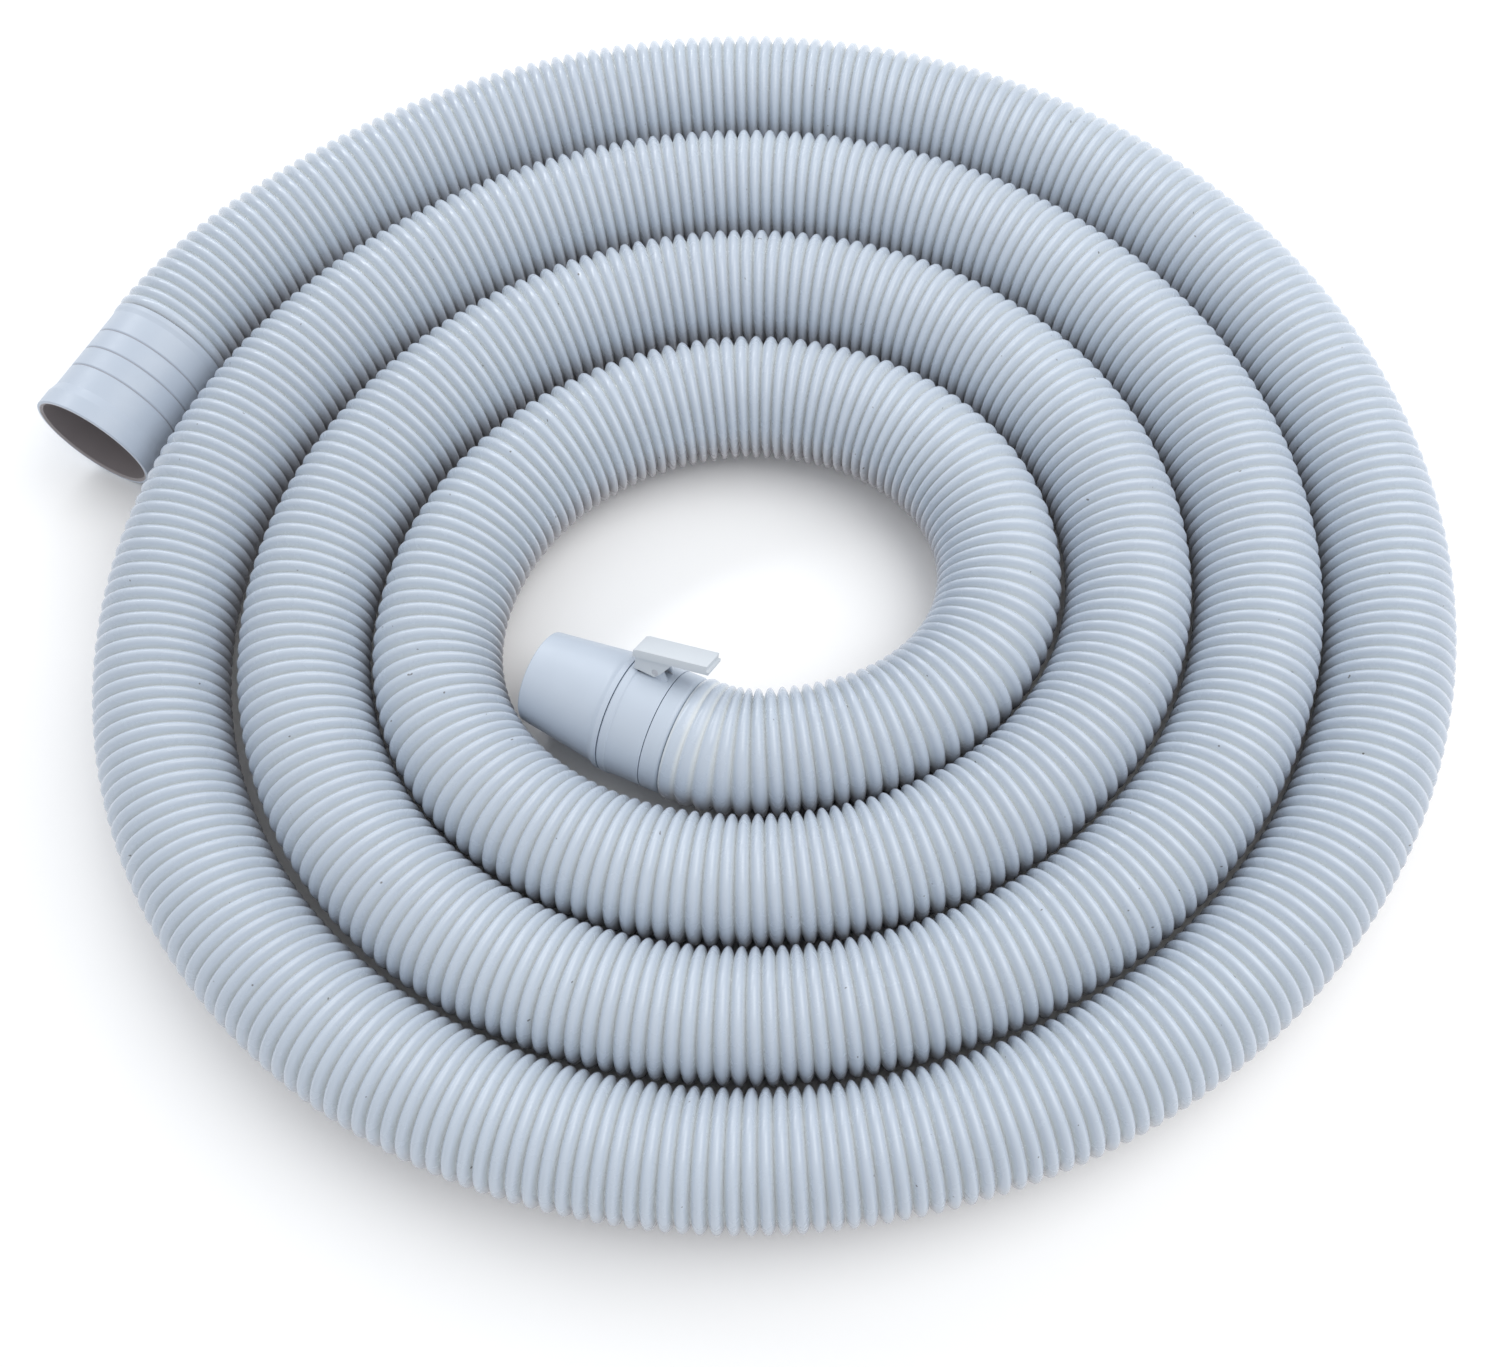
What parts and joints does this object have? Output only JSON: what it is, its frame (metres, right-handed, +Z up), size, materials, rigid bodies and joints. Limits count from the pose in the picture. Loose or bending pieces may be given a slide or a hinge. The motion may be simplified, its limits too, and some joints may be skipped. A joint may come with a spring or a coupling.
{
  "type": "vacuum hose",
  "caption": "Corrugated suction hose coiled flat, with a swivel cuff on its outer end and a tapered nozzle held in a quick-release collar on its inner end.",
  "frame": {"origin": "on the floor, under the middle of the whole coil's box", "axes": "+X to the viewer's right across the coil's longer way, +Y away from the viewer, +Z up out of the coil"},
  "size_m": [0.4382, 0.4053, 0.0464],
  "materials": {
    "hose_plastic": "satin gloss, ringed all over, pale blue-grey white",
    "fitting_plastic": "smooth moulded, pale blue-grey white",
    "lever_plastic": "smooth moulded, pale blue-grey white",
    "bearing_plastic": "matt, dark grey",
    "seal_rubber": "matt black",
    "spring_steel": "drawn wire"
  },
  "bodies": {
    "hose_run": {"hose": "hose_plastic", "swivel_bush": "bearing_plastic", "swivel_seal": "seal_rubber", "hose_cuff": "fitting_plastic", "snap_ring": "spring_steel"},
    "swivel_cuff": {"swivel_sleeve": "fitting_plastic", "swivel_clip_ring": "spring_steel"},
    "collar": {"lock_collar": "fitting_plastic", "lever_pin": "spring_steel", "lever_spring": "spring_steel"},
    "lever": {"release_lever": "lever_plastic"},
    "tip": {"nozzle": "fitting_plastic", "nozzle_seal": "seal_rubber"}
  },
  "joints": [
    {"name": "cuff_swivel", "type": "hinge", "parent": "hose_run", "child": "swivel_cuff", "pos_m": [-0.18389, 0.0761, 0.0189], "axis": [-0.4384, -0.8988, 0], "continuous": true},
    {"name": "collar_turn", "type": "hinge", "parent": "hose_run", "child": "collar", "pos_m": [-0.01673, -0.06049, 0.0189], "axis": [-0.91, 0.4147, 0], "range_deg": [-60, 60]},
    {"name": "lever_press", "type": "hinge", "parent": "collar", "child": "lever", "pos_m": [-0.01752, -0.0487, 0.03621], "axis": [0.3555, 0.78, -0.515], "range_deg": [0, 15], "stiffness_Nm_per_rad": 0.05, "springref_deg": -11.46},
    {"name": "nozzle_spin", "type": "hinge", "parent": "collar", "child": "tip", "pos_m": [-0.01673, -0.06049, 0.0189], "axis": [-0.91, 0.4147, 0], "continuous": true}
  ]
}
